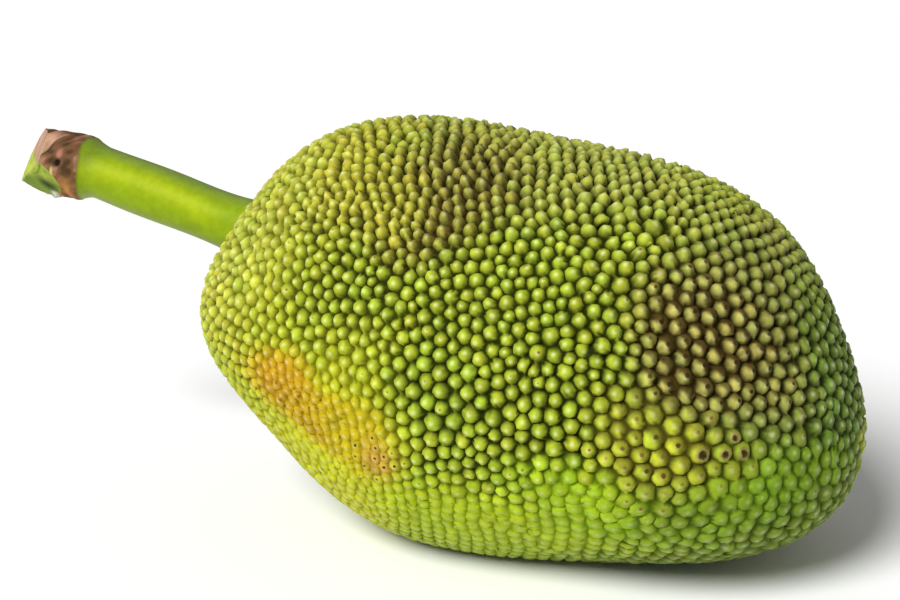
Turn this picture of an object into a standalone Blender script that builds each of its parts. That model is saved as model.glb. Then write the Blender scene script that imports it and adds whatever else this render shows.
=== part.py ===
"""A whole jackfruit with its cut stalk, lying on its side.

The fruit is one solid: the smooth envelope that touches the tips of its tubercles. The stalk is a
second solid, and its root sits in a socket at the fruit's stalk end. X runs along the fruit, from
stalk to blossom end, and the fruit rests on a small flat spot at Z = 0.
"""

import math

import bmesh
import bpy
import numpy as np

# The fruit's envelope, in metres and degrees. FULLNESS 2 would be a plain ellipsoid.
HALF_LENGTH = 0.1524
HALF_WIDTH = 0.0996
HALF_HEIGHT = 0.0969
FULLNESS = 2.2
TILT = 9.0
CENTRE_HEIGHT = 0.089
FLAT_BLEND = 0.006

# Slow swells of the fruit: waves in a full turn, share of the radius, and the crest's angle. Those
# along the fruit run over its back and belly, and those round its girth run about its long axis.
LENGTH_SWELLS = (
    (2, 0.0067, 90.0),
    (3, 0.0121, -10.0),
    (4, 0.0248, -60.0),
    (5, 0.0295, -110.0),
    (6, 0.0094, 61.0),
)
GIRTH_SWELLS = ((2, 0.0077, -90.0), (3, 0.0078, 121.0), (4, 0.0071, 78.0))

# The stalk's axis, in the upright plane through the fruit: where it comes out of the rind, how
# steeply it climbs from there, and how it levels out at the swollen joint. Lengths along it start
# where it comes out, so its root, inside the rind, is at a negative length.
RIND_X = -0.1442
RIND_Z = 0.1297
STALK_CLIMB = 14.7
JOINT_CLIMB = 2.0
BEND_START = 0.0728
BEND_END = 0.0988
STALK_LENGTH = 0.1358
ROOT_DEPTH = 0.010
SOCKET_GAP = 0.0003

# The stalk's thickness.
STALK_RADIUS = 0.0127
ROOT_FLARE = 0.0014
ROOT_FLARE_LENGTH = 0.012
JOINT_SWELL = 0.0028
JOINT_START = 0.0778
JOINT_FULL = 0.0898

# Two knife cuts end the stalk: a point on each, measured from the joint's middle, and the way it faces.
JOINT_MIDDLE = 0.1018
CUTS = (
    ((-0.0165, 0.0, 0.0), (-0.71, -0.55, 0.43)),
    ((-0.0135, 0.0, -0.0130), (-0.40, -0.80, -0.44)),
)

FRUIT_SIDES = 60
FRUIT_RINGS = 38
STALK_SIDES = 28
STALK_RINGS = 30
LINE_STEPS = 400
CUT_TOLERANCE = 0.00001
CREASE_ANGLE = 35.0


def smooth_step(value, start, end):
    """0 before start, 1 after end, and a smooth S between them."""
    share = np.clip((value - start) / (end - start), 0.0, 1.0)
    return share * share * (3.0 - 2.0 * share)


def soft_floor(height, blend):
    """Height, but never under 0: a parabola joins the two over blend on either side of 0."""
    joined = (height + blend) ** 2 / (4.0 * blend)
    return np.where(height < -blend, 0.0, np.where(height > blend, height, joined))


def heading(degrees):
    """The way the stalk runs at this climb: towards -X, and up."""
    turn = math.radians(degrees)
    return np.array([-math.cos(turn), 0.0, math.sin(turn)])


def swell(angle, waves):
    """The sum of the waves at this angle, as a share of the radius."""
    return sum(share * np.cos(count * angle - math.radians(crest)) for count, share, crest in waves)


def envelope(directions):
    """The fruit's surface along unit directions from its centre.

    A superellipsoid with slow swells is tilted, lifted to its height, and pressed flat where it
    would go through the floor.
    """
    x, y, z = directions.T
    across = np.sqrt((y / HALF_WIDTH) ** 2 + (z / HALF_HEIGHT) ** 2)
    reach = (np.abs(x / HALF_LENGTH) ** FULLNESS + across**FULLNESS) ** (-1.0 / FULLNESS)
    along = np.arctan2(z * reach / HALF_HEIGHT, x * reach / HALF_LENGTH)
    around = np.arctan2(z, y)
    reach = reach * (1.0 + (1.0 - y * y) * swell(along, LENGTH_SWELLS))
    reach = reach * (1.0 + (1.0 - x * x) ** 2 * swell(around, GIRTH_SWELLS))
    points = directions * reach[:, None]

    turn = math.radians(TILT)
    leaned = np.stack(
        [
            points[:, 0] * math.cos(turn) + points[:, 2] * math.sin(turn),
            points[:, 1],
            points[:, 2] * math.cos(turn) - points[:, 0] * math.sin(turn) + CENTRE_HEIGHT,
        ],
        axis=1,
    )
    leaned[:, 2] = soft_floor(leaned[:, 2], FLAT_BLEND)
    return leaned


def fruit_mesh():
    """A UV sphere with its poles on the fruit's long axis, each vertex moved out to the envelope."""
    shape = bmesh.new()
    bmesh.ops.create_uvsphere(shape, u_segments=FRUIT_SIDES, v_segments=FRUIT_RINGS, radius=1.0)
    sphere = np.array([vertex.co for vertex in shape.verts])
    directions = sphere[:, [2, 0, 1]]
    directions /= np.linalg.norm(directions, axis=1)[:, None]
    for vertex, place in zip(shape.verts, envelope(directions)):
        vertex.co = place
    return shape


def stalk_line(distances):
    """Points on the stalk's axis at these lengths along it, and the way it runs there."""
    fine = np.linspace(-2.0 * ROOT_DEPTH, STALK_LENGTH, LINE_STEPS)
    climb = STALK_CLIMB + (JOINT_CLIMB - STALK_CLIMB) * smooth_step(fine, BEND_START, BEND_END)
    ways = np.array([heading(angle) for angle in climb])
    steps = np.diff(fine)[:, None] * (ways[1:] + ways[:-1]) / 2.0
    start = np.array([RIND_X, 0.0, RIND_Z]) + fine[0] * ways[0]
    places = start + np.vstack([np.zeros(3), np.cumsum(steps, axis=0)])
    points = np.stack([np.interp(distances, fine, places[:, axis]) for axis in range(3)], axis=1)
    runs = np.stack([np.interp(distances, fine, ways[:, axis]) for axis in range(3)], axis=1)
    return points, runs / np.linalg.norm(runs, axis=1)[:, None]


def stalk_radius(distances):
    """Flared at the fruit, even along the stalk, swollen at the joint."""
    flare = ROOT_FLARE * np.exp(-np.maximum(distances, 0.0) / ROOT_FLARE_LENGTH)
    joint = JOINT_SWELL * smooth_step(distances, JOINT_START, JOINT_FULL)
    return STALK_RADIUS + flare + joint


def ring_points(centres, runs, radii):
    """Rings of points round the stalk's axis, all starting at the same side."""
    sideways = np.array([0.0, 1.0, 0.0])
    upright = np.cross(sideways, runs)[:, None, :]
    turns = (np.arange(STALK_SIDES) * 2.0 * math.pi / STALK_SIDES)[None, :, None]
    return centres[:, None, :] + radii[:, None, None] * (np.cos(turns) * sideways + np.sin(turns) * upright)


def closed_tube(rings, near_end, far_end):
    """Quads between the rings, and a fan of triangles from each end's middle."""
    shape = bmesh.new()
    loops = [[shape.verts.new(place) for place in ring] for ring in rings]
    near_middle = shape.verts.new(near_end)
    far_middle = shape.verts.new(far_end)
    for near, far in zip(loops, loops[1:]):
        for side in range(STALK_SIDES):
            after = (side + 1) % STALK_SIDES
            shape.faces.new((near[side], near[after], far[after], far[side]))
    for side in range(STALK_SIDES):
        after = (side + 1) % STALK_SIDES
        shape.faces.new((near_middle, loops[0][after], loops[0][side]))
        shape.faces.new((far_middle, loops[-1][side], loops[-1][after]))
    return shape


def stalk_mesh():
    """A tube along the axis, with its far end cut off by the knife and the cuts closed."""
    centres, runs = stalk_line(np.linspace(-ROOT_DEPTH, STALK_LENGTH, STALK_RINGS))
    radii = stalk_radius(np.linspace(-ROOT_DEPTH, STALK_LENGTH, STALK_RINGS))
    shape = closed_tube(ring_points(centres, runs, radii), centres[0], centres[-1])
    middle = stalk_line(np.array([JOINT_MIDDLE]))[0][0]
    for place, facing in CUTS:
        everything = [*shape.verts, *shape.edges, *shape.faces]
        cut = bmesh.ops.bisect_plane(
            shape,
            geom=everything,
            dist=CUT_TOLERANCE,
            plane_co=middle + np.array(place),
            plane_no=facing,
            clear_outer=True,
        )
        rim = [item for item in cut["geom_cut"] if isinstance(item, bmesh.types.BMEdge)]
        bmesh.ops.holes_fill(shape, edges=rim)
    bmesh.ops.triangulate(shape, faces=shape.faces)
    return shape


def socket_mesh():
    """What the root takes out of the fruit: the root, larger all round by the gap."""
    centres, runs = stalk_line(np.array([-ROOT_DEPTH - SOCKET_GAP, ROOT_DEPTH]))
    radii = np.full(2, STALK_RADIUS + ROOT_FLARE + SOCKET_GAP)
    rings = ring_points(centres, runs, radii)
    return closed_tube(rings, centres[0], centres[-1])


def material(name, colour, roughness):
    """A plain Principled material."""
    made = bpy.data.materials.new(name)
    made.use_nodes = True
    shader = made.node_tree.nodes["Principled BSDF"]
    shader.inputs["Base Color"].default_value = (*colour, 1.0)
    shader.inputs["Roughness"].default_value = roughness
    shader.inputs["Metallic"].default_value = 0.0
    return made


def add_part(name, shape, finish):
    """Turns the bmesh into a named object with outward faces and smooth shading."""
    shape.normal_update()
    bmesh.ops.recalc_face_normals(shape, faces=shape.faces)
    mesh = bpy.data.meshes.new(name)
    shape.to_mesh(mesh)
    shape.free()
    mesh.materials.append(finish)
    mesh.shade_smooth()
    mesh.set_sharp_from_angle(angle=math.radians(CREASE_ANGLE))
    part = bpy.data.objects.new(name, mesh)
    bpy.context.scene.collection.objects.link(part)
    return part


def centre_over_origin(measured, moved):
    """Moves parts together so that the origin is under the middle of the measured ones' box."""
    corners = np.array([vertex.co for part in measured for vertex in part.data.vertices])
    middle = (corners.min(axis=0) + corners.max(axis=0)) / 2.0
    for part in moved:
        part.location = (-middle[0], -middle[1], 0.0)


for leftover in list(bpy.data.objects):
    bpy.data.objects.remove(leftover)

rind = material("rind", (0.36, 0.45, 0.06), 0.55)
green_stalk = material("green_stalk", (0.33, 0.48, 0.03), 0.45)
fruit = add_part("fruit", fruit_mesh(), rind)
stalk = add_part("stalk", stalk_mesh(), green_stalk)
socket = add_part("socket", socket_mesh(), rind)
socket.hide_render = True
socket.display_type = "WIRE"
bore = fruit.modifiers.new("socket", "BOOLEAN")
bore.operation = "DIFFERENCE"
bore.object = socket
centre_over_origin([fruit, stalk], [fruit, stalk, socket])
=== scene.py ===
import math

import bmesh
import bpy
import numpy as np
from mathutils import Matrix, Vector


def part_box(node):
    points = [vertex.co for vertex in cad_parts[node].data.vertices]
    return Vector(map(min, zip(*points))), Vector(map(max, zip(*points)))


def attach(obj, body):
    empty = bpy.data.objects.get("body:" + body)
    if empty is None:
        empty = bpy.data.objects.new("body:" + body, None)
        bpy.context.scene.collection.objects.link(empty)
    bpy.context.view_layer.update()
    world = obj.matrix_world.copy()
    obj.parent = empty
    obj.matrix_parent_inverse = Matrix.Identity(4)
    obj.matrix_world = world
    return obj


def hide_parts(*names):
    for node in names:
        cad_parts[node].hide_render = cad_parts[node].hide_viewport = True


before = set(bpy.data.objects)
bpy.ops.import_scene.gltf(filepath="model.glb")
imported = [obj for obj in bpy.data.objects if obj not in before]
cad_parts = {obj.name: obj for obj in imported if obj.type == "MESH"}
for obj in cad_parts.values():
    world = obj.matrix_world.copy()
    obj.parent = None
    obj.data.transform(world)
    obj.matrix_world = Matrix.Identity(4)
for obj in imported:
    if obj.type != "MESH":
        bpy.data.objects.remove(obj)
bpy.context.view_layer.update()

# The fruit's form
#
# A jackfruit grows as one blunt, slightly lumpy oval, and this one lies tilted on its belly. Its
# form is the smooth skin that would touch the tips of all its tubercles, the same as the CAD fruit.
HALF_LENGTH = 0.1524
HALF_WIDTH = 0.0996
HALF_HEIGHT = 0.0969
FULLNESS = 2.2
TILT = math.radians(9.0)
CENTRE_HEIGHT = 0.089
FLAT_BLEND = 0.006
# Tubercles are a little taller than wide, so they are spread over the form stretched this much.
STRETCH = np.array([1.06, 1.0, 1.0])
FORM_SAMPLES = 60000
SLOPE_STEP = 0.002
# Waves in a full turn, share of the radius, and the crest's angle in degrees.
LENGTH_SWELLS = (
    (2, 0.0067, 90.0),
    (3, 0.0121, -10.0),
    (4, 0.0248, -60.0),
    (5, 0.0295, -110.0),
    (6, 0.0094, 61.0),
)
GIRTH_SWELLS = ((2, 0.0077, -90.0), (3, 0.0078, 121.0), (4, 0.0071, 78.0))


def swell(angle, waves):
    """The sum of cosine waves round a full turn, as a share of the radius."""
    return sum(share * np.cos(count * angle - math.radians(crest)) for count, share, crest in waves)


def unit(vectors):
    """The vectors at length 1."""
    return vectors / np.linalg.norm(vectors, axis=-1, keepdims=True)


def form(directions):
    """The fruit's form along unit directions from its centre, about its own centre.

    Directions are given on a sphere that is stretched lengthwise, the one that tubercles spread over.
    The reach of a superellipsoid, 1 / ((x/a)^n + (across)^n)^(1/n), times slow waves over its back
    and belly and round its girth; then the body is tilted, lifted, and wherever it would be under
    the floor it is pressed flat, with a parabola where the two meet.
    """
    x, y, z = np.moveaxis(unit(directions / STRETCH), -1, 0)
    across = np.sqrt((y / HALF_WIDTH) ** 2 + (z / HALF_HEIGHT) ** 2)
    reach = (np.abs(x / HALF_LENGTH) ** FULLNESS + across**FULLNESS) ** (-1.0 / FULLNESS)
    along = np.arctan2(z * reach / HALF_HEIGHT, x * reach / HALF_LENGTH)
    reach = reach * (1.0 + (1.0 - y * y) * swell(along, LENGTH_SWELLS))
    reach = reach * (1.0 + (1.0 - x * x) ** 2 * swell(np.arctan2(z, y), GIRTH_SWELLS))
    level = reach * (x * math.cos(TILT) + z * math.sin(TILT))
    height = reach * (z * math.cos(TILT) - x * math.sin(TILT)) + CENTRE_HEIGHT
    blended = (height + FLAT_BLEND) ** 2 / (4.0 * FLAT_BLEND)
    height = np.where(height < -FLAT_BLEND, 0.0, np.where(height > FLAT_BLEND, height, blended))
    return np.stack([level, reach * y, height], axis=-1)


def spiral(count):
    """Evenly spread unit directions: equal steps of height, the golden angle from each to the next."""
    steps = np.arange(count) + 0.5
    height = 1.0 - 2.0 * steps / count
    turn = steps * math.pi * (1.0 + math.sqrt(5.0))
    width = np.sqrt(1.0 - height**2)
    return np.stack([height, width * np.cos(turn), width * np.sin(turn)], axis=-1)


# The form's own box is centred on the CAD fruit's box, which gives its place in the frame.
fruit_low, fruit_high = (np.array(corner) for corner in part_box("fruit"))
form_points = form(spiral(FORM_SAMPLES))
fruit_shift = (fruit_low + fruit_high - form_points.min(axis=0) - form_points.max(axis=0)) / 2.0
fruit_shift[2] = 0.0


def skin(directions):
    """The form in its place, and its outward unit normal.

    The normal is along the cross product of the form's slopes along two tangents.
    """
    helper = np.where(np.abs(directions[..., 2:]) < 0.9, [0.0, 0.0, 1.0], [0.0, 1.0, 0.0])
    first = unit(np.cross(helper, directions))
    second = np.cross(directions, first)
    slopes = [
        form(unit(directions + SLOPE_STEP * tangent)) - form(unit(directions - SLOPE_STEP * tangent))
        for tangent in (first, second)
    ]
    return form(directions) + fruit_shift, unit(np.cross(*slopes))


# Ripening, rubbing and painted shade
#
# The rind isn't one colour. It ripens from green to yellow and orange in patches, it browned where
# it was rubbed, and near the blossom end the tubercles are wide and flat. The belly and the blossom
# end are darker partly as painted shade. Each row of numbers is a patch: how far along (-1 stalk
# end, 1 blossom end), degrees up from the near side, and its reach either way. Then come tip colour,
# valley colour (partly painted shade), height, flatness, how far neighbours round the girth fuse,
# browned flanks (partly painted shade), the share of tubercles with a pore, and how far apart they are.
BASE_LOOK = (0.33, 0.40, 0.025, 0.010, 0.017, 0.0003, 1.05, 0.0, 0.25, 0.0, 0.07, 1.0)
PATCHES = (
    # The far side.
    (0.10, 185, 1.50, 80, 0.34, 0.42, 0.025, 0.014, 0.022, 0.001, 1.0, 0.0, 0.40, 0.0, 0.05, 1.12),
    # The back.
    (0.10, 90, 0.75, 45, 0.36, 0.39, 0.060, 0.005, 0.006, 0.0003, 1.50, 0.0, 0.65, 0.10, 0.06, 0.98),
    # The shoulder, olive brown.
    (-0.25, 60, 0.28, 24, 0.34, 0.31, 0.055, 0.003, 0.002, 0.0003, 1.75, 0.0, 0.65, 0.75, 0.06, 0.95),
    # The shoulder above the stalk.
    (-0.66, 62, 0.24, 24, 0.45, 0.43, 0.04, 0.018, 0.016, 0.001, 1.50, 0.0, 0.84, 0.0, 0.03, 0.90),
    # The stalk end.
    (-0.97, 20, 0.20, 100, 0.43, 0.45, 0.05, 0.080, 0.090, 0.003, 1.05, 0.0, 0.70, 0.0, 0.03, 0.98),
    # The near side.
    (0.00, -4, 0.26, 16, 0.32, 0.41, 0.025, 0.012, 0.022, 0.001, 1.0, 0.0, 0.25, 0.0, 0.08, 1.12),
    # Small tubercles above the near side's.
    (0.30, 28, 0.42, 24, 0.32, 0.39, 0.025, 0.009, 0.015, 0.0003, 1.10, 0.0, 0.30, 0.0, 0.04, 0.91),
    # The lower band of ridges.
    (0.10, -39, 0.95, 16, 0.355, 0.455, 0.010, 0.180, 0.260, 0.004, 0.45, 0.7, 1.00, 0.0, 0.03, 0.96),
    # The belly, darkened with painted shade.
    (0.00, -82, 1.30, 30, 0.26, 0.35, 0.02, 0.110, 0.160, 0.006, 0.42, 0.6, 1.00, 0.0, 0.05, 1.12),
    # Ripening, yellow green.
    (-0.58, -34, 0.36, 46, 0.48, 0.50, 0.012, 0.285, 0.280, 0.006, 0.42, 0.5, 0.96, 0.0, 0.05, 0.92),
    # Ripe, orange.
    (-0.64, -8, 0.11, 9, 0.49, 0.285, 0.010, 0.270, 0.125, 0.003, 0.6, 0.4, 0.95, 0.0, 0.06, 0.85),
    # Ripe, orange, lower.
    (-0.52, -15, 0.12, 8, 0.49, 0.32, 0.009, 0.270, 0.150, 0.003, 0.6, 0.4, 0.95, 0.0, 0.06, 0.85),
    # Ripe, yellow.
    (-0.38, -18, 0.15, 10, 0.47, 0.375, 0.008, 0.250, 0.190, 0.003, 0.6, 0.4, 0.95, 0.0, 0.05, 0.86),
    # Ripe, tan.
    (-0.27, -20, 0.09, 6, 0.46, 0.29, 0.040, 0.300, 0.155, 0.020, 0.5, 0.6, 0.92, 0.0, 0.05, 0.86),
    # The dark green blossom end, partly painted shade on the side away from the lamp.
    (0.99, 35, 0.24, 105, 0.13, 0.21, 0.030, 0.014, 0.030, 0.004, 0.70, 0.1, 0.50, 0.1, 0.06, 1.04),
    # Low scales under the discs.
    (0.62, -22, 0.28, 12, 0.29, 0.42, 0.012, 0.130, 0.220, 0.003, 0.48, 0.6, 0.88, 0.0, 0.06, 1.04),
    # Bright green scales beside the discs.
    (0.84, -13, 0.15, 20, 0.16, 0.27, 0.014, 0.050, 0.095, 0.002, 0.50, 0.6, 0.84, 0.0, 0.08, 1.06),
    # Under the blossom end, darkened with painted shade.
    (0.80, -66, 0.35, 24, 0.14, 0.20, 0.02, 0.045, 0.080, 0.005, 0.5, 0.5, 0.92, 0.0, 0.05, 1.12),
    # Rubbed brown.
    (0.77, 38, 0.13, 42, 0.40, 0.36, 0.09, 0.018, 0.010, 0.002, 1.20, 0.0, 0.20, 1.0, 0.75, 1.06),
    # Wide, flat discs.
    (0.72, 1, 0.12, 13, 0.44, 0.48, 0.03, 0.070, 0.070, 0.004, 0.85, 0.4, 0.20, 0.60, 0.85, 1.18),
    # Far side, ripe, yellow.
    (0.45, 185, 0.30, 26, 0.52, 0.47, 0.03, 0.180, 0.160, 0.005, 0.7, 0.2, 0.60, 0.0, 0.08, 1.0),
    # Far side, rubbed brown.
    (-0.35, 150, 0.22, 20, 0.38, 0.36, 0.06, 0.020, 0.014, 0.002, 1.1, 0.0, 0.40, 0.8, 0.20, 1.0),
)
TIP_COLOUR = slice(0, 3)
VALLEY_COLOUR_AND_SHADE = slice(3, 6)
SHAPE_AND_MARKS = slice(6, 11)
SPACING = 11
PATCH_EDGE = 0.60
PATCH_WANDER = 0.30
PATCH_FINENESS = 9.0
WAVES = 10
luck = np.random.default_rng(20)


def smooth(value, start, end):
    """0 up to start, 1 from end on, and a smooth S between them."""
    share = np.clip((value - start) / (end - start), 0.0, 1.0)
    return share * share * (3.0 - 2.0 * share)


def ripple(fineness):
    """Draws smooth random hills, about -1 to 1, and gives back the function that says their height.

    They are plane waves in random directions, added up.
    """
    ways = unit(luck.standard_normal((WAVES, 3))) * luck.uniform(0.6, 1.5, (WAVES, 1)) * fineness
    phases = luck.uniform(0.0, 2.0 * math.pi, WAVES)
    return lambda points: np.cos(points @ ways.T + phases).sum(axis=-1) / math.sqrt(WAVES)


def cover(directions, along_at, around_at, reach_along, reach_around, wander):
    """How much a patch covers at each direction: 1 in its middle, with a soft, wandering edge."""
    true_way = unit(directions / STRETCH)
    around = np.degrees(np.arctan2(true_way[:, 2], -true_way[:, 1]))
    turned = (around - around_at + 180.0) % 360.0 - 180.0
    away = np.hypot((true_way[:, 0] - along_at) / reach_along, turned / reach_around)
    return smooth(away + PATCH_WANDER * wander(directions), 1.0 + PATCH_EDGE, 1.0 - PATCH_EDGE)


patch_wander = [ripple(PATCH_FINENESS) for _ in PATCHES]


def look_at(directions):
    """The look at each direction: the base, covered by one patch after another."""
    look = np.tile(BASE_LOOK, (len(directions), 1))
    for (along_at, around_at, reach_along, reach_around, *patch), wander in zip(PATCHES, patch_wander):
        share = cover(directions, along_at, around_at, reach_along, reach_around, wander)
        look += (np.array(patch) - look) * share[:, None]
    return look


# Tubercles
#
# Each tubercle is the blunt tip of one flower of the many that grew together into the fruit. They
# stand in slanting rows round the girth and pack like cells, about 6 mm apart. ROW_AXIS is the
# direction the rows go round, in the fruit's own axes.
TUBERCLES = 3960
UNEVEN_SPACING = 0.13
SCATTER = 0.014
ROW_AXIS = unit(np.array([0.91, 0.37, 0.19]))
ROW_STEPS = 300
GIRTH_STEPS = 360
SETTLING_ROUNDS = 90
SETTLING_STEP = 0.17


def untilt(moves):
    """Moves in the frame, turned back to the fruit's own axes."""
    x, y, z = np.moveaxis(moves, -1, 0)
    level = x * math.cos(TILT) - z * math.sin(TILT)
    return np.stack([level, y, x * math.sin(TILT) + z * math.cos(TILT)], axis=-1)


def triangulate(directions):
    """Triangles between neighbouring directions: the faces of their convex hull, facing out."""
    mesh = bpy.data.meshes.new("neighbours")
    mesh.from_pydata(directions, [], [])
    hull = bmesh.new()
    hull.from_mesh(mesh)
    bmesh.ops.convex_hull(hull, input=hull.verts)
    hull.to_mesh(mesh)
    hull.free()
    corners = np.empty(len(mesh.loops), dtype=np.int32)
    mesh.loops.foreach_get("vertex_index", corners)
    bpy.data.meshes.remove(mesh)
    faces = corners.reshape(-1, 3)
    a, b, c = (directions[faces[:, corner]] for corner in range(3))
    inward = (np.cross(b - a, c - a) * a).sum(axis=1) < 0.0
    faces[inward] = faces[inward][:, ::-1]
    return faces


def settle(sites):
    """Neighbours push and pull each other towards the wanted spacing, round after round.

    Lengths are measured with the fruit stretched lengthwise, so the cells end up taller than wide.
    Each push is along the line between two neighbours, by a share of what their distance lacks.
    """
    uneven = 1.0 + UNEVEN_SPACING * luck.standard_normal(len(sites))
    for _ in range(SETTLING_ROUNDS):
        faces = triangulate(sites)
        here = faces.ravel()
        there = faces[:, [1, 2, 0]].ravel()
        places = untilt(form(sites) - [0.0, 0.0, CENTRE_HEIGHT]) * STRETCH
        wanted = look_at(sites)[:, SPACING] * uneven
        apart = places[here] - places[there]
        length = np.linalg.norm(apart, axis=1)
        rest = wanted[here] + wanted[there]
        rest *= length.mean() / rest.mean()
        push = apart * (SETTLING_STEP * (rest - length) / length)[:, None]
        moves = np.stack([np.bincount(here, push[:, axis], len(sites)) for axis in range(3)], axis=1)
        sites = unit(sites + moves / np.linalg.norm(places, axis=1, keepdims=True))
    return sites


def from_row_axis(pole_turn, girth_turn):
    """The direction this far from the rows' axis, and this far round it."""
    second = unit(np.cross([0.0, 0.0, 1.0], ROW_AXIS))
    third = np.cross(ROW_AXIS, second)
    side = np.cos(girth_turn)[..., None] * second + np.sin(girth_turn)[..., None] * third
    return np.cos(pole_turn)[..., None] * ROW_AXIS + np.sin(pole_turn)[..., None] * side


def rows_round_the_girth():
    """Sites in slanting rows round the girth, each row half a step on from the one before it.

    Lengths are divided by what the look wants. In those, the steps in a row are all as long, and the
    rows are sqrt(3) / 2 of a step apart.
    """
    pole_turn, girth_turn = np.meshgrid(
        (np.arange(ROW_STEPS) + 0.5) * math.pi / ROW_STEPS,
        np.arange(GIRTH_STEPS + 1) * 2.0 * math.pi / GIRTH_STEPS,
        indexing="ij",
    )
    grid = from_row_axis(pole_turn, girth_turn)
    points = form(grid)
    wanted = look_at(grid.reshape(-1, 3))[:, SPACING].reshape(pole_turn.shape)
    girth_length = np.linalg.norm(np.diff(points, axis=1), axis=2) * 2.0
    girth_length /= wanted[:, 1:] + wanted[:, :-1]
    girth_share = np.concatenate([np.zeros((ROW_STEPS, 1)), np.cumsum(girth_length, axis=1)], axis=1)
    row_length = np.linalg.norm(np.gradient(points, axis=0), axis=2) / wanted
    row_share = np.cumsum(row_length.mean(axis=1))
    cell_area = (girth_share[:, -1] * row_length.mean(axis=1)).sum() / TUBERCLES
    spacing = math.sqrt(cell_area * 2.0 / math.sqrt(3.0))
    rows = round(row_share[-1] / (spacing * math.sqrt(3.0) / 2.0))
    found = []
    for row in range(rows):
        at = np.interp(row_share[-1] * (row + 0.5) / rows, row_share, np.arange(ROW_STEPS))
        shares = girth_share[round(at)]
        steps = max(round(shares[-1] / spacing), 1)
        turn = np.interp((np.arange(steps) + 0.5 * (row % 2)) / steps * shares[-1], shares, girth_turn[0])
        found.append(from_row_axis(np.full(steps, (at + 0.5) * math.pi / ROW_STEPS), turn))
    return np.concatenate(found)


sites = rows_round_the_girth()
sites = settle(unit(sites + SCATTER * luck.standard_normal(sites.shape)))
faces = triangulate(sites)

# The rind
#
# Green, waxy and hard, and one continuous skin: every tubercle is a blunt bead on a six-sided cell,
# and the skin dips into a valley between it and its neighbours. It grew with the fruit, so it has no
# seam. Rises go from 0, the depth of a valley, to 1, the fruit's form, and rings are at a share of the
# way from a tubercle's tip to its valley.
RELIEF = 0.50
BEAD_WIDTH = 0.90
DISC_WIDTH = 0.95
BEAD_POWER = 1.8
DISC_POWER = 4.0
INNER_RING = 0.44
OUTER_RING = 0.76
WIDEST_RING = 0.92
ROUNDING = 0.50
CIRCUMCENTRE_SHARE = 0.5
SMALLEST, LARGEST = 0.7, 1.3
WIDTH_WITH_SIZE = 1.05
WIDEST_BEAD = 1.08
UNEVEN_SIZE = 0.09
UNEVEN_RING = 0.12
UNEVEN_RISE = 0.08
WRINKLED_RING = 0.08
WRINKLED_RISE = 0.08
LEAN = 0.12
SUNKEN = 0.10
SUNKEN_FUSED = 0.12
# Where tubercles fuse. Each pair is where something starts and where it is full. The first three
# are for the look's fusing, the next is for how nearly the step to a neighbour goes round the girth,
# and the last for how far off the rows' axis it is, since on the axis no way goes round.
WRINKLED = (0.72, 1.0)
IN_RIDGES = (0.6, 0.95)
GROOVED = (0.65, 0.95)
ROUND_THE_GIRTH = (0.2, 0.7)
OFF_ROW_AXIS = (0.02, 0.22)
HOLLOW_PULL = 0.20
RIDGE_SIDE_RISE = 0.74
GROOVE_FLOOR = 0.25
SADDLE = 0.10
ACROSS_GROOVE = 0.25
ACROSS_FUSED = (0.75, 1.0)
UNEVEN_SADDLE = (-0.55, 0.30)
EVENED_SADDLE = 0.8
EVENED_FUSED = (0.7, 0.95)
# A few tips near the blossom end broke off, and left craters with a rim.
BROKEN_PATCH = (0.84, 6, 0.065, 10)
BROKEN_COVER = 0.6
BROKEN_SHARE = 0.7
CRATER_RISE = 0.55

site_count = len(sites)
here = faces.ravel()
after = faces[:, [1, 2, 0]].ravel()
before = faces[:, [2, 0, 1]].ravel()
face_of = np.repeat(np.arange(len(faces)), 3)
by_after = np.argsort(here * site_count + after)
by_before = np.argsort(here * site_count + before)
# Corner k is where the edge from its site to the next one starts a face; the face on that edge's
# other side meets the site at corner other[k].
other = np.empty_like(here)
other[by_after] = by_before
_, edge_of = np.unique(np.minimum(here, after) * site_count + np.maximum(here, after), return_inverse=True)
edge_count = edge_of.max() + 1

site_places, site_normals = skin(sites)
look = look_at(sites)
relief, flatness, fusing, browning, pores = look[:, SHAPE_AND_MARKS].T
wrinkled = smooth(fusing, *WRINKLED)

# Neighbours round the girth fuse into ridges where the look says so.
side_step = site_places[after] - site_places[here]
girthwise = 1.0 - np.abs(untilt(side_step) @ ROW_AXIS) / np.linalg.norm(side_step, axis=1)
fused = (fusing[here] + fusing[after]) / 2.0
off_axis = 1.0 - (unit(sites[here] + sites[after]) @ ROW_AXIS) ** 2
joining = smooth(girthwise, *ROUND_THE_GIRTH) * smooth(off_axis, *OFF_ROW_AXIS)
ridged = joining * smooth(fused, *IN_RIDGES)

# A hollow lies between three tubercles, and beside a ridge it keeps off to the far one's side.
a, b, c = (sites[faces[:, corner]] for corner in range(3))
circumcentres = unit(np.cross(b - a, c - a))
hollows = unit(CIRCUMCENTRE_SHARE * circumcentres + (1.0 - CIRCUMCENTRE_SHARE) * unit(a + b + c))
pull = (sites[before] - hollows[face_of]) * ridged[:, None]
hollows = unit(hollows + HOLLOW_PULL * pull.reshape(-1, 3, 3).sum(axis=1))
corner_mean = (hollows[face_of] + hollows[face_of[other]]) / 2.0
saddles = np.empty((edge_count, 3))
saddles[edge_of] = unit(corner_mean + (sites[here] + sites[after]) / 2.0)


def reach_to(corners):
    """Distances from each corner's site to these points on the form, in stretched lengths."""
    return np.linalg.norm(untilt(form(corners) + fruit_shift - site_places[here]) * STRETCH, axis=1)


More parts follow.
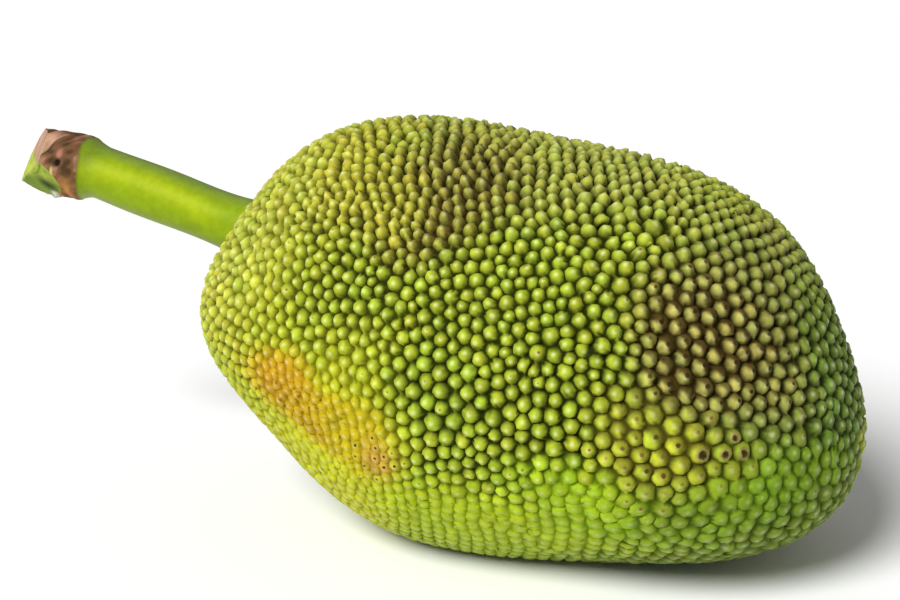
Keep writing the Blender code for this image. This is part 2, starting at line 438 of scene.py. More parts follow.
hollow_reach = reach_to(hollows[face_of])
saddle_reach = reach_to(saddles[edge_of])
cell_radius = np.bincount(here, hollow_reach + saddle_reach) / np.bincount(here) / 2.0
size = np.clip(1.0 + UNEVEN_SIZE * luck.standard_normal(site_count), SMALLEST, LARGEST)
width = BEAD_WIDTH + (DISC_WIDTH - BEAD_WIDTH) * flatness
power = BEAD_POWER + (DISC_POWER - BEAD_POWER) * flatness
depth = RELIEF * 2.0 * cell_radius * relief * np.sqrt(size)
lean = LEAN * cell_radius[:, None] * luck.standard_normal((site_count, 3)) / CENTRE_HEIGHT


def ring(share, targets, reaches):
    """A ring round each site, rounder than its cell, and how high the bead stands there.

    It goes a share of the way to the targets, less where they are far. The bead is half a
    superellipse, (1 - out^power)^(1/2). The nearer the tip, the more the ring goes with its lean.
    """
    radius = cell_radius[here]
    step = share * size[here] * (radius / reaches) ** ROUNDING
    step *= 1.0 + (UNEVEN_RING + WRINKLED_RING * wrinkled[here]) * luck.standard_normal(len(here))
    step = np.clip(step, 0.5 * share, WIDEST_RING)
    directions = sites[here] + (targets - sites[here]) * step[:, None]
    directions = unit(directions + lean[here] * (1.0 - share) ** 0.5)
    bead_width = width * np.minimum(size * WIDTH_WITH_SIZE, WIDEST_BEAD)
    out = step * reaches / radius / bead_width[here]
    rise = np.maximum(1.0 - out ** power[here], 0.0) ** 0.5
    rise += (UNEVEN_RISE + WRINKLED_RISE * wrinkled[here]) * luck.standard_normal(len(here))
    return directions, np.clip(rise, 0.0, 1.0)


inner, inner_rise = ring(INNER_RING, hollows[face_of], hollow_reach)
outer, outer_rise = ring(OUTER_RING, hollows[face_of], hollow_reach)
outer_mid, outer_mid_rise = ring(OUTER_RING, saddles[edge_of], saddle_reach)

# Where neighbours fuse, the saddle between them hardly dips, and neither do the ridge's sides there.
ridge_side = np.maximum(ridged, ridged.reshape(-1, 3)[:, [2, 0, 1]].ravel())
outer_rise = np.maximum(outer_rise, RIDGE_SIDE_RISE * ridge_side)
joining += (1.0 - joining) * smooth(fused, *ACROSS_FUSED) * ACROSS_GROOVE
saddle_rise = np.empty(edge_count)
saddle_rise[edge_of] = SADDLE + fused * joining
uneven_saddle = luck.uniform(*UNEVEN_SADDLE, edge_count)
uneven_saddle[edge_of] *= 1.0 - EVENED_SADDLE * smooth(fused, *EVENED_FUSED)
saddle_rise = np.clip(saddle_rise * (1.0 + uneven_saddle), 0.0, 1.0)
outer_mid_rise = np.maximum(outer_mid_rise, saddle_rise[edge_of])

# Each corner of each cell gets 8 triangles, from the tip out to the saddle and the hollow. "Before"
# is on the side of the face before the edge, and "after" on that of the face after it.
start = np.cumsum([0, site_count, len(here), len(here), len(here), len(faces)])
corner_id = np.arange(len(here))
tip = here
inner_after = start[1] + corner_id
inner_before = start[1] + other
outer_after = start[2] + corner_id
outer_before = start[2] + other
outer_middle = start[3] + corner_id
hollow_after = start[4] + face_of
hollow_before = start[4] + face_of[other]
saddle_middle = start[5] + edge_of
triangles = np.concatenate(
    [
        np.stack(three, axis=1)
        for three in (
            (tip, inner_before, inner_after),
            (inner_before, outer_before, outer_middle),
            (inner_before, outer_middle, inner_after),
            (inner_after, outer_middle, outer_after),
            (outer_before, hollow_before, saddle_middle),
            (outer_before, saddle_middle, outer_middle),
            (outer_middle, saddle_middle, hollow_after),
            (outer_middle, hollow_after, outer_after),
        )
    ]
)
triangle_site = np.tile(here, 8)

broken = cover(sites, *BROKEN_PATCH, ripple(PATCH_FINENESS)) > BROKEN_COVER
broken &= luck.random(site_count) < BROKEN_SHARE
inner_rise = np.where(broken[here], 1.0, inner_rise)
# No two tips stand quite as high, least of all where they fuse.
height = 1.0 - luck.random(site_count) * (SUNKEN + SUNKEN_FUSED * wrinkled)
saddle_height = np.bincount(edge_of, height[here]) / 2.0
# Between fused ridges, the hollows join into a shallow groove.
groove_rise = GROOVE_FLOOR * smooth(np.bincount(face_of, fusing[here]) / 3.0, *GROOVED)
rise = np.concatenate(
    [
        np.where(broken, CRATER_RISE, 1.0) * height,
        inner_rise * height[here],
        outer_rise * height[here],
        outer_mid_rise * height[here],
        groove_rise,
        saddle_rise * saddle_height,
    ]
)
hollow_depth = np.bincount(face_of, depth[here]) / 3.0
saddle_depth = np.bincount(edge_of, depth[here]) / 2.0
depths = np.concatenate([depth, depth[here], depth[here], depth[here], hollow_depth, saddle_depth])
directions = np.concatenate([unit(sites + lean), inner, outer, outer_mid, hollows, saddles])
places, normals = skin(directions)
places -= normals * (depths * (1.0 - rise))[:, None]

# Each triangle belongs to one tubercle. Its corners carry where they are in that cell (along the
# fruit and round the girth, in cell radii), the tubercle's own colour, and its marks: a pore's
# strength, the browning, the flatness, and whether the tip is broken. Its points carry the valley's
# colour there, which is partly painted shade, with the rise as the alpha.
UNEVEN_TONE = 0.10
UNEVEN_TINT = np.array([0.035, -0.0105, -0.0175])
EVENED_COLOUR = 0.65
OFF_MIDDLE = 0.06
PORE_STRENGTH = (0.35, 0.9)
BROWNED = (0.2, 0.8)
BROWNED_PORE = 0.2
PINHOLE_PATCH = (-0.27, -20, 0.085, 7)
PINHOLE_COVER = 0.3
PINHOLE_SHARE = 0.65
PINHOLE_STRENGTH = 1.6
long_axis = np.array([math.cos(TILT), 0.0, -math.sin(TILT)])
site_along = unit(long_axis - site_normals * (site_normals @ long_axis)[:, None])
site_round = np.cross(site_normals, site_along)
corner_site = np.repeat(triangle_site, 3)
from_site = places[triangles.ravel()] - site_places[corner_site]
cell = np.stack(
    [(from_site * site_along[corner_site]).sum(axis=1), (from_site * site_round[corner_site]).sum(axis=1)],
    axis=1,
)
cell /= cell_radius[corner_site][:, None]
cell += (OFF_MIDDLE * luck.standard_normal((site_count, 2)))[corner_site]

own_colour = 1.0 - EVENED_COLOUR * wrinkled[:, None]
tone = np.exp(UNEVEN_TONE * own_colour * luck.standard_normal((site_count, 1)))
tint = UNEVEN_TINT * own_colour * luck.standard_normal((site_count, 1))
flesh = np.clip(look[:, TIP_COLOUR] * tone * (1.0 + tint), 0.0, 1.0)
flesh = np.concatenate([flesh, np.ones((site_count, 1))], axis=1)
valley = np.clip(look_at(directions)[:, VALLEY_COLOUR_AND_SHADE], 0.0, 1.0)
valley = np.concatenate([valley, rise[:, None]], axis=1)
pinholes = cover(sites, *PINHOLE_PATCH, ripple(PATCH_FINENESS)) > PINHOLE_COVER
pinholes &= luck.random(site_count) < PINHOLE_SHARE
pored = (luck.random(site_count) < pores) * luck.uniform(*PORE_STRENGTH, site_count)
pored *= 1.0 + BROWNED_PORE * smooth(browning, *BROWNED)
pored = np.maximum(pored, pinholes * PINHOLE_STRENGTH)
marks = np.stack([pored, browning, flatness, broken], axis=1)


def add_attribute(mesh, name, domain, values):
    """Stores four numbers a point or corner as a float colour attribute."""
    layer = mesh.attributes.new(name, "FLOAT_COLOR", domain)
    layer.data.foreach_set("color", np.ascontiguousarray(values, dtype=np.float32).ravel())


def add_piece(name, points, polygons, finish):
    """A smooth-shaded mesh object with one material, at the frame's origin."""
    mesh = bpy.data.meshes.new(name)
    mesh.from_pydata(points, [], polygons)
    mesh.materials.append(finish)
    mesh.shade_smooth()
    made = bpy.data.objects.new(name, mesh)
    bpy.context.scene.collection.objects.link(made)
    return made


class Nodes:
    """A short way to write a material's nodes: each call adds a node and gives back its output."""

    def __init__(self, name):
        self.material = bpy.data.materials.new(name)
        self.material.use_nodes = True
        self.tree = self.material.node_tree
        self.shader = self.tree.nodes["Principled BSDF"]

    def add(self, kind, inputs=(), output=0, **settings):
        """A node of this kind with these settings; inputs are values or other nodes' outputs."""
        node = self.tree.nodes.new("ShaderNode" + kind)
        for setting, value in settings.items():
            setattr(node, setting, value)
        for socket, value in dict(inputs).items():
            self.put(node.inputs[socket], value)
        return node.outputs[output]

    def put(self, socket, value):
        """Links an output into a socket, or sets the socket's value."""
        if isinstance(value, bpy.types.NodeSocket):
            self.tree.links.new(value, socket)
        else:
            socket.default_value = value

    def math(self, operation, *values, clamp=False):
        """Arithmetic on one, two or three numbers."""
        return self.add("Math", enumerate(values), operation=operation, use_clamp=clamp)

    def fade(self, value, start, end, low=0.0, high=1.0):
        """From low at start to high at end, along a smooth S."""
        inputs = {0: value, 1: start, 2: end, 3: low, 4: high}
        return self.add("MapRange", inputs, interpolation_type="SMOOTHSTEP")

    def blend(self, share, first, second, mode="MIX"):
        """Two colours mixed, or combined in another mode, by this share."""
        inputs = {0: share, 6: first, 7: second}
        return self.add("Mix", inputs, output=2, data_type="RGBA", blend_type=mode)

    def noise(self, place, fineness, detail=2.0, roughness=0.5):
        """Cloudy noise from 0 to 1, with this many clouds a metre."""
        inputs = {"Vector": place, "Scale": fineness, "Detail": detail, "Roughness": roughness}
        return self.add("TexNoise", inputs)

    def finish(self, colour, roughness, bump_height, bump_distance):
        """Puts colour, roughness and a fine relief into the shader."""
        self.put(self.shader.inputs["Base Color"], colour)
        self.put(self.shader.inputs["Roughness"], roughness)
        bump = self.add("Bump", {"Height": bump_height, "Distance": bump_distance, "Strength": 1.0})
        self.put(self.shader.inputs["Normal"], bump)
        return self.material


# Colours of the marks on the rind, and where in a cell they are, in cell radii from its middle.
# The first colour is a painted highlight on each crown; the second is brown, partly painted shade on the
# flank away from the lamp.
CROWN_HIGHLIGHT = (0.76, 0.79, 0.42, 1.0)
BROWN_AND_SHADE = (0.050, 0.026, 0.007, 1.0)
PORE, DEEP_PORE = (0.19, 0.070, 0.010, 1.0), (0.030, 0.014, 0.004, 1.0)
CORKY_RIM, CRATER = (0.27, 0.20, 0.075, 1.0), (0.030, 0.018, 0.006, 1.0)
# The way in a cell towards the brown flank, which is partly painted shade.
BROWN_AND_SHADE_WAY = (0.6, 0.8, 0.0)
PORE_AT = (0.09, 0.16, 0.0)
CRATER_AT = (0.14, -0.12, 0.0)
FINE_GRAIN, PATCHY_GRAIN = 900.0, 160.0
GRAIN_HEIGHT = 0.0003


def rind_material():
    """Waxy green rind: painted crown highlights, valleys and brown flanks partly painted shade, pores and a
    fine grain.
    """
    made = Nodes("rind")
    place = made.add("TexCoord", output="Object")
    spot = made.add("UVMap", uv_map="cell")
    flesh_colour = made.add("Attribute", attribute_name="flesh")
    valley_colour_and_shade = made.add("Attribute", attribute_name="valley")
    risen = made.add("Attribute", attribute_name="valley", output="Alpha")
    marked = made.add("SeparateColor", {0: made.add("Attribute", attribute_name="marks")}).node
    pore_here, browned, flat = marked.outputs
    broken_here = made.add("Attribute", attribute_name="marks", output="Alpha")
    fine = made.noise(place, FINE_GRAIN, 3.0, 0.6)
    patchy = made.noise(place, PATCHY_GRAIN, 3.0, 0.6)
    away = made.add("VectorMath", {0: spot}, output="Value", operation="LENGTH")
    ragged = made.math("MULTIPLY_ADD", patchy, 0.22, away)
    # Lower on each bead its colour goes over into the valley colour: painted shade on the flanks, and in the
    # valleys partly their own darker green, partly painted shade.
    painted_flank_shade = made.fade(made.math("MULTIPLY_ADD", patchy, 0.24, risen), 1.08, 0.24)
    colour = made.blend(painted_flank_shade, flesh_colour, valley_colour_and_shade)
    # A painted highlight on each crown, weaker where the tubercles are flat.
    painted_crown_highlight = made.math("MULTIPLY", made.fade(ragged, 0.52, 0.10), made.fade(flat, 0.0, 0.9, 0.44, 0.08))
    colour = made.blend(painted_crown_highlight, colour, CROWN_HIGHLIGHT)
    # The side towards the blossom end and up is painted brown: partly rubbed browning, partly painted shade
    # on the side away from the lamp.
    sideways = made.add("VectorMath", {0: spot, 1: BROWN_AND_SHADE_WAY}, output="Value", operation="DOT_PRODUCT")
    flank_brown_and_shade = made.fade(made.math("MULTIPLY_ADD", patchy, 0.9, sideways), 0.10, 0.62)
    brown = made.math("MULTIPLY", made.math("MULTIPLY", flank_brown_and_shade, browned), 0.95)
    colour = made.blend(brown, colour, BROWN_AND_SHADE)
    # Pores are small brown pits near the tip, larger where they are deep.
    eye_away = made.add("VectorMath", {0: spot, 1: PORE_AT}, output="Value", operation="DISTANCE")
    larger = made.math("MULTIPLY_ADD", browned, -0.09, made.math("MULTIPLY_ADD", fine, 0.14, eye_away))
    pore_reach = made.math("MULTIPLY_ADD", pore_here, -0.05, larger)
    pore_edge = made.math("MULTIPLY_ADD", flat, 0.02, 0.18)
    inside = made.math("SUBTRACT", pore_edge, pore_reach)
    pore = made.math("MULTIPLY", made.fade(inside, -0.03, 0.05), pore_here, clamp=True)
    deep = made.math("MAXIMUM", made.fade(pore_here, 0.9, 1.4), made.fade(browned, 0.2, 0.8))
    colour = made.blend(pore, colour, made.blend(deep, PORE, DEEP_PORE))
    # A broken tip is a dark hollow, off to one side, with a corky rim.
    off_centre = made.add("VectorMath", {0: spot, 1: CRATER_AT}, output="Value", operation="DISTANCE")
    torn = made.math("MULTIPLY_ADD", patchy, 0.7, made.math("MULTIPLY_ADD", fine, 0.3, off_centre))
    rim = made.math("MULTIPLY", made.fade(torn, 1.20, 0.85), broken_here)
    colour = made.blend(made.math("MULTIPLY", rim, 0.8), colour, CORKY_RIM)
    crater = made.math("MULTIPLY", made.fade(torn, 0.92, 0.70), broken_here)
    colour = made.blend(crater, colour, CRATER)
    # The wax is cloudy, and its shine is yellow green.
    cloud = made.fade(patchy, 0.2, 0.8, 0.86, 1.12)
    clouds = made.add("CombineColor", {0: cloud, 1: cloud, 2: cloud})
    colour = made.blend(1.0, colour, clouds, "MULTIPLY")
    made.put(made.shader.inputs["Specular IOR Level"], 0.26)
    made.put(made.shader.inputs["Specular Tint"], (0.90, 0.95, 0.20, 1.0))
    # Crowns are worn to a dull shine, and the valleys stay matt.
    worn = made.fade(patchy, 0.2, 0.8, 0.34, 0.46)
    roughness = made.math("ADD", worn, made.fade(away, 0.45, 0.85, 0.0, 0.45))
    return made.finish(colour, roughness, fine, GRAIN_HEIGHT)


rind = add_piece("rind", places, triangles, rind_material())
cell_map = rind.data.uv_layers.new(name="cell")
cell_map.uv.foreach_set("vector", cell.astype(np.float32).ravel())
add_attribute(rind.data, "flesh", "CORNER", flesh[corner_site])
add_attribute(rind.data, "valley", "POINT", valley)
add_attribute(rind.data, "marks", "CORNER", marks[corner_site])
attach(rind, "root")
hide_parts("fruit")

# The stalk
#
# A smooth green stalk as thick as a thumb, which grew out of the fruit. It swells into a corky joint
# where it left the tree's twig, and two knife cuts just past the joint took it off.
RIND_X = -0.1442
RIND_Z = 0.1297
STALK_CLIMB = 14.7
JOINT_CLIMB = 2.0
BEND_START = 0.0728
BEND_END = 0.0988
STALK_LENGTH = 0.1358
BURIED = 0.008
STALK_RADIUS = 0.0127
ROOT_FLARE = 0.0014
ROOT_FLARE_LENGTH = 0.012
JOINT_SWELL = 0.0028
JOINT_START = 0.0778
JOINT_FULL = 0.0898
JOINT_MIDDLE = 0.1018
CUTS = (
    ((-0.0165, 0.0, 0.0), (-0.71, -0.55, 0.43)),
    ((-0.0135, 0.0, -0.0130), (-0.40, -0.80, -0.44)),
)
# The joint's marks. Lengths are from its middle, and degrees are round the stalk from the far side,
# up over the top. A span is where a mark starts, is full, starts to fade, and is gone.
COLLAR, COLLAR_EDGE = -0.0162, 0.0008
PIT, PIT_DEGREES = -0.0075, 164.0
PIT_LENGTH, PIT_WIDTH = 0.0016, 6.5
CREASE, CREASE_DEGREES, CREASE_SLANT = -0.0040, 122.0, 0.0135 / 88.0
CREASE_SPAN = (95.0, 118.0, 215.0, 240.0)
CREASE_WIDTH = 0.0005
RIDGE, RIDGE_DEGREES, RIDGE_SLANT = -0.0050, 174.0, 0.0015 / 64.0
RIDGE_SPAN = (168.0, 180.0, 235.0, 250.0)
RIDGE_WIDTH = 0.0008
LIP_DEGREES, LIP_WIDTH = 248.0, 9.0
LIP_START, LIP_FULL = 0.0035, 0.0010
BLOT_RISE, BLOT_SIDE, BLOT_WIDTH = -0.62, -0.42, 0.20
STALK_GREEN = (0.195, 0.285, 0.005)
# How the points are spread over it.
LINE_STEPS = 400
CUT_STEPS = 160
CUT_SEARCH_START = 0.0858
STALK_COLUMNS = 168
SIDE_ROWS = 150
LAST_ROWS = 40
CUT_ROWS = 26

line_at = np.linspace(-2.0 * BURIED, STALK_LENGTH, LINE_STEPS)
climb = np.radians(STALK_CLIMB + (JOINT_CLIMB - STALK_CLIMB) * smooth(line_at, BEND_START, BEND_END))
line_way = np.stack([-np.cos(climb), np.zeros(LINE_STEPS), np.sin(climb)], axis=1)
line_step = np.diff(line_at)[:, None] * (line_way[1:] + line_way[:-1]) / 2.0
line_place = np.vstack([np.zeros(3), np.cumsum(line_step, axis=0)]) + line_at[0] * line_way[0]
line_place += [RIND_X, 0.0, RIND_Z] + fruit_shift


def along_line(distance):
    """Points on the stalk's axis at these distances from the rind, and the way up from it there."""
    points = np.stack([np.interp(distance, line_at, line_place[:, axis]) for axis in range(3)], axis=-1)
    way = unit(np.stack([np.interp(distance, line_at, line_way[:, axis]) for axis in range(3)], axis=-1))
    return points, np.cross([0.0, 1.0, 0.0], way)


def stalk_radius(distance):
    """A flare that dies away from the rind, an even stalk, and the swollen joint."""
    flare = ROOT_FLARE * np.exp(-np.maximum(distance, 0.0) / ROOT_FLARE_LENGTH)
    return STALK_RADIUS + flare + JOINT_SWELL * smooth(distance, JOINT_START, JOINT_FULL)


def stalk_point(distance, turn, share, raised):
    """The point at this distance along, turn round (from +Y, up) and share of the radius."""
    middle, upward = along_line(distance)
    out = np.cos(turn)[..., None] * [0.0, 1.0, 0.0] + np.sin(turn)[..., None] * upward
    return middle + out * (share * (stalk_radius(distance) + raised))[..., None]


def past_cuts(points):
    """How far points are past each of the knife cuts, along that cut's facing."""
    middle = along_line(np.array(JOINT_MIDDLE))[0]
    return np.array([(points - middle - place) @ unit(np.array(facing)) for place, facing in CUTS])


def cut_distance(turn, share):
    """How far along the stalk the knife went through, at each turn and share of the radius.

    The distance past the cuts is found at even steps, and the first crossing is on the straight
    line between the steps on either side of it.
    """
    steps = np.linspace(CUT_SEARCH_START, STALK_LENGTH, CUT_STEPS)
    shape = (CUT_STEPS, *turn.shape)
    grid = np.broadcast_to(steps.reshape(-1, *[1] * turn.ndim), shape)
    past = past_cuts(stalk_point(grid, np.broadcast_to(turn, shape), np.broadcast_to(share, shape), 0.0))
    past = past.max(axis=0)
    first = np.argmax(past > 0.0, axis=0)[None]
    after_cut = np.take_along_axis(past, first, axis=0)[0]
    before_cut = np.take_along_axis(past, first - 1, axis=0)[0]
    return steps[first[0] - 1] + (steps[1] - steps[0]) * before_cut / (before_cut - after_cut)


turns = np.arange(STALK_COLUMNS) * 2.0 * math.pi / STALK_COLUMNS
edge_distance = cut_distance(turns, np.ones(STALK_COLUMNS))
side = np.linspace(-BURIED, CUT_SEARCH_START, SIDE_ROWS)[:, None] + np.zeros(STALK_COLUMNS)
last = CUT_SEARCH_START + (edge_distance - CUT_SEARCH_START) * np.linspace(0.0, 1.0, LAST_ROWS + 1)[1:, None]
cut_share = np.linspace(1.0, 0.0, CUT_ROWS + 1)[1:-1, None] + np.zeros(STALK_COLUMNS)
cut_turn = turns + np.zeros_like(cut_share)
distance = np.vstack([side, last, cut_distance(cut_turn, cut_share)])
share = np.vstack([np.ones_like(side), np.ones_like(last), cut_share])
turn = turns + np.zeros_like(distance)
degrees = np.degrees(turn)
on_cut = share < 1.0


def hill(value, middle, half_width):
    """1 on the middle and 0 from the half width on, with a smooth side."""
    return 1.0 - smooth(np.abs(value - middle), 0.0, half_width)


def bell(value, middle, width):
    """The normal curve exp(-((value - middle) / width)^2)."""
    return np.exp(-(((value - middle) / width) ** 2))


def span(value, start, full, fading, end):
    """0 up to start, 1 from full to fading, and 0 again from end on."""
    return smooth(value, start, full) * smooth(value, end, fading)


skin_grid = np.stack([distance / STALK_RADIUS, np.cos(turn), np.sin(turn)], axis=-1).reshape(-1, 3)
slow = ripple(1.2)(skin_grid).reshape(distance.shape)
corky = ripple(9.0)(skin_grid).reshape(distance.shape)
grainy = ripple(24.0)(skin_grid).reshape(distance.shape)
past_middle = distance - JOINT_MIDDLE
collar = COLLAR + 0.0016 * np.cos(2.0 * turn - 9.6) + 0.0005 * slow
in_joint = smooth(past_middle, collar - COLLAR_EDGE, collar + COLLAR_EDGE)
pit = bell(past_middle, PIT, PIT_LENGTH) * bell(degrees, PIT_DEGREES, PIT_WIDTH)
crease_at = CREASE + CREASE_SLANT * (degrees - CREASE_DEGREES) + 0.0004 * corky
near_side = span(degrees, *CREASE_SPAN)
crease = bell(past_middle, crease_at, CREASE_WIDTH) * near_side
past_crease = smooth(past_middle, crease_at, crease_at + 2.0 * CREASE_WIDTH) * near_side
ridge_at = RIDGE + RIDGE_SLANT * (degrees - RIDGE_DEGREES)
ridge = bell(past_middle, ridge_at, RIDGE_WIDTH) * span(degrees, *RIDGE_SPAN)
to_edge = smooth(distance, edge_distance - LIP_START, edge_distance - LIP_FULL)
lip = np.where(on_cut, 0.0, bell(degrees, LIP_DEGREES, LIP_WIDTH) * to_edge)
raised = 0.00025 * slow + in_joint * (0.0004 + 0.00030 * corky + 0.00010 * grainy)
raised += 0.0006 * ridge + 0.0010 * lip - 0.0024 * pit - 0.0007 * crease
raised = np.where(on_cut, 0.0, raised)
stalk_places = stalk_point(distance, turn, share, raised)

rise_on_cut = share * np.sin(turn)
side_on_cut = share * np.cos(turn)
past_first, past_second = past_cuts(stalk_places)
first_facet = on_cut * (past_first >= past_second)
second_facet = on_cut * (past_first < past_second)
blot = bell(rise_on_cut, BLOT_RISE, BLOT_WIDTH) * bell(side_on_cut, BLOT_SIDE, BLOT_WIDTH)
sap = np.maximum(lip, second_facet * hill(degrees, 246.0, 14.0) * smooth(share, 0.86, 0.95))
matt = np.maximum(in_joint, on_cut)

# Each colour is laid over those before it, as thick as its share says.
upper_near = hill(degrees + 6.0 * slow, 152.0, 42.0) * smooth(distance, 0.0, 0.02)
# Painted shadow on the stalk just before the joint's collar.
collar_shadow = hill(past_middle, -0.019, 0.012) * hill(degrees, 130.0, 80.0)
under_joint = in_joint * hill(past_middle, -0.0115, 0.0075) * hill(degrees, 210.0, 34.0)
past_ridge = smooth(past_middle, ridge_at, ridge_at + 0.0015) * span(degrees, 195.0, 215.0, 265.0, 290.0)
speckle = corky + 0.5 * grainy
coats = (
    # Green skin: yellower above, greyer on top and below, and a painted shadow before the joint's collar.
    ((0.30, 0.375, 0.004), 0.85 * upper_near),
    ((0.15, 0.21, 0.050), 0.75 * hill(degrees, 88.0, 46.0)),
    ((0.27, 0.34, 0.080), 0.60 * hill(degrees, 245.0, 45.0)),
    ((0.13, 0.20, 0.015), 0.75 * collar_shadow),
    # Cork, with light and dark speckles.
    ((0.13, 0.060, 0.030), in_joint),
    ((0.31, 0.135, 0.095), in_joint * smooth(speckle, 0.1, 1.4) * 0.8),
    ((0.05, 0.025, 0.012), in_joint * smooth(speckle, -0.3, -1.4) * 0.8),
    ((0.34, 0.16, 0.045), under_joint),
    # Bark torn back at the crease, and the green under it.
    ((0.40, 0.23, 0.150), past_crease * smooth(degrees, 165.0, 140.0)),
    ((0.34, 0.41, 0.050), past_crease * smooth(degrees, 140.0, 165.0)),
    ((0.20, 0.31, 0.025), past_ridge),
    ((0.55, 0.46, 0.150), ridge),
    # The two cuts: pinkish bark over green flesh, and a green cut that darkens downwards.
    ((0.40, 0.23, 0.160), first_facet * smooth(rise_on_cut, -0.05, 0.20)),
    ((0.36, 0.41, 0.060), first_facet * smooth(rise_on_cut, 0.20, -0.05)),
    ((0.26, 0.33, 0.040), second_facet),
    ((0.11, 0.18, 0.020), second_facet * smooth(rise_on_cut, -0.30, -0.62) * 0.8),
    ((0.02, 0.030, 0.008), second_facet * blot),
    # Dried sap, and painted shade in the pit and the crease.
    ((0.52, 0.50, 0.430), sap * 0.9),
    ((0.012, 0.009, 0.005), np.minimum(2.0 * pit + 0.8 * crease, 1.0)),
)
stalk_colour = np.tile(STALK_GREEN, (*distance.shape, 1))
for coat, thickness in coats:
    stalk_colour += (np.array(coat) - stalk_colour) * np.clip(thickness, 0.0, 1.0)[..., None]
stalk_colour *= np.exp(matt * (0.10 * corky + 0.08 * grainy))[..., None]
stalk_colour = np.concatenate([stalk_colour, matt[..., None]], axis=-1)

columns = np.arange(STALK_COLUMNS)
rows = len(distance)
row_start = (np.arange(rows - 1) * STALK_COLUMNS)[:, None]
next_column = (columns + 1) % STALK_COLUMNS
quads = np.stack(
    [
        row_start + columns,
        row_start + STALK_COLUMNS + columns,
        row_start + STALK_COLUMNS + next_column,
        row_start + next_column,
    ],
    axis=-1,
).reshape(-1, 4)
root_middle = rows * STALK_COLUMNS
cut_middle = root_middle + 1
root_fan = np.stack([np.full(STALK_COLUMNS, root_middle), columns, next_column], axis=1)
last_row = (rows - 1) * STALK_COLUMNS
cut_fan = np.stack([np.full(STALK_COLUMNS, cut_middle), last_row + next_column, last_row + columns], axis=1)
centre_cut = cut_distance(np.zeros(1), np.zeros(1))
ends = np.concatenate([along_line(np.array([-BURIED]))[0], along_line(centre_cut)[0]])
stalk_points = np.concatenate([stalk_places.reshape(-1, 3), ends])
stalk_colours = np.concatenate([stalk_colour.reshape(-1, 4), stalk_colour[0, :1], stalk_colour[-1, :1]])

STALK_PATCHES = 220.0
STALK_GRAIN_HEIGHT = 0.00006


def stalk_material():
    """Smooth green skin with faint fibres, and matt, grainy cork and cut flesh at the joint."""
    made = Nodes("stalk")
    place = made.add("TexCoord", output="Object")
    colour = made.add("Attribute", attribute_name="skin")
    matt_here = made.add("Attribute", attribute_name="skin", output="Alpha")
    patchy = made.noise(place, STALK_PATCHES, 3.0, 0.6)
    fine = made.noise(place, FINE_GRAIN, 3.0, 0.6)
    cloud = made.fade(patchy, 0.25, 0.75, 0.90, 1.10)
    clouds = made.add("CombineColor", {0: cloud, 1: cloud, 2: cloud})
    colour = made.blend(1.0, colour, clouds, "MULTIPLY")
    roughness = made.math("MULTIPLY_ADD", matt_here, 0.35, made.fade(patchy, 0.2, 0.8, 0.42, 0.52))
    made.put(made.shader.inputs["Specular IOR Level"], 0.16)
    made.put(made.shader.inputs["Specular Tint"], (0.90, 0.95, 0.35, 1.0))
    grain = made.math("MULTIPLY", fine, made.math("MULTIPLY_ADD", matt_here, 4.0, 1.0))
    return made.finish(colour, roughness, grain, STALK_GRAIN_HEIGHT)


stalk = add_piece(
    "cut_stalk", stalk_points, [*quads.tolist(), *root_fan.tolist(), *cut_fan.tolist()], stalk_material()
)
add_attribute(stalk.data, "skin", "POINT", stalk_colours)
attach(stalk, "root")
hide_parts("stalk")

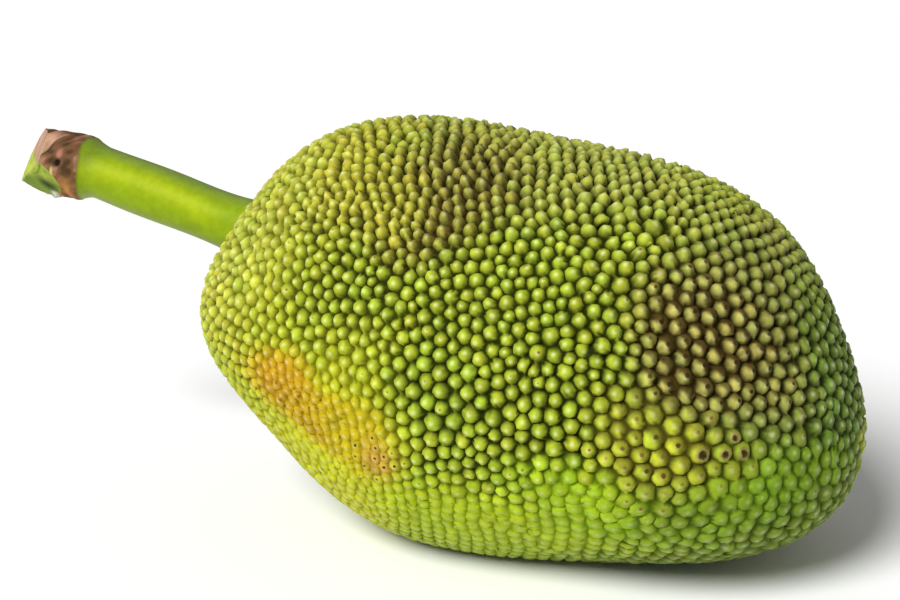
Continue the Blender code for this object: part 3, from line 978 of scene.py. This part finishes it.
# The room
#
# A plain pale floor out to the horizon, an even white sky and one large soft lamp, up to the left.
# The lamp lights from one direction, wherever it stands.
FLOOR_HALF = 12.0
FLOOR_DROP = 0.0002
FLOOR_COLOUR = (0.93, 0.93, 0.93, 1.0)
floor_corners = np.array([(-1, -1, 0), (1, -1, 0), (1, 1, 0), (-1, 1, 0)]) * FLOOR_HALF
floor_nodes = Nodes("floor")
floor_nodes.put(floor_nodes.shader.inputs["Base Color"], FLOOR_COLOUR)
floor_nodes.put(floor_nodes.shader.inputs["Roughness"], 0.9)
floor = add_piece("floor", floor_corners - [0.0, 0.0, FLOOR_DROP], [(0, 1, 2, 3)], floor_nodes.material)

AZIMUTH = math.radians(22.0)
ELEVATION = math.radians(17.0)
CAMERA_DISTANCE = 0.90
LENS = 80.0
CENTRE_RIGHT = 0.0863
CENTRE_DOWN = 0.0478
LAMP_RIGHT, LAMP_UP, LAMP_BACK = -0.42, 0.46, 0.78
LAMP_DISTANCE = 1.2
LAMP_SPREAD = math.radians(28.0)
LAMP_POWER = 4.0
SKY = 0.28

backward = np.array(
    [
        math.sin(AZIMUTH) * math.cos(ELEVATION),
        -math.cos(AZIMUTH) * math.cos(ELEVATION),
        math.sin(ELEVATION),
    ]
)
rightward = np.array([math.cos(AZIMUTH), math.sin(AZIMUTH), 0.0])
upward = np.cross(backward, rightward)
fruit_middle = fruit_shift + [0.0, 0.0, CENTRE_HEIGHT]


def turned_object(name, data, place, back):
    """An object at this place that looks the other way from back, with its right side level."""
    made = bpy.data.objects.new(name, data)
    made.location = place
    made.rotation_euler = (math.acos(back[2]), 0.0, math.atan2(back[0], -back[1]))
    bpy.context.scene.collection.objects.link(made)
    return made


camera = bpy.data.cameras.new("camera")
camera.lens = LENS
camera.shift_x = -CENTRE_RIGHT
camera.shift_y = CENTRE_DOWN
camera.clip_end = 100.0
viewer = turned_object("camera", camera, fruit_middle + backward * CAMERA_DISTANCE, backward)
bpy.context.scene.camera = viewer

lamp = bpy.data.lights.new("lamp", "SUN")
lamp.angle = LAMP_SPREAD
lamp.energy = LAMP_POWER
lamp_way = unit(LAMP_RIGHT * rightward + LAMP_UP * upward + LAMP_BACK * backward)
turned_object("lamp", lamp, fruit_middle + lamp_way * LAMP_DISTANCE, lamp_way)

world = bpy.data.worlds.new("sky")
world.use_nodes = True
world.node_tree.nodes["Background"].inputs["Color"].default_value = (1.0, 1.0, 1.0, 1.0)
world.node_tree.nodes["Background"].inputs["Strength"].default_value = SKY
bpy.context.scene.world = world
bpy.context.scene.view_settings.view_transform = "Standard"
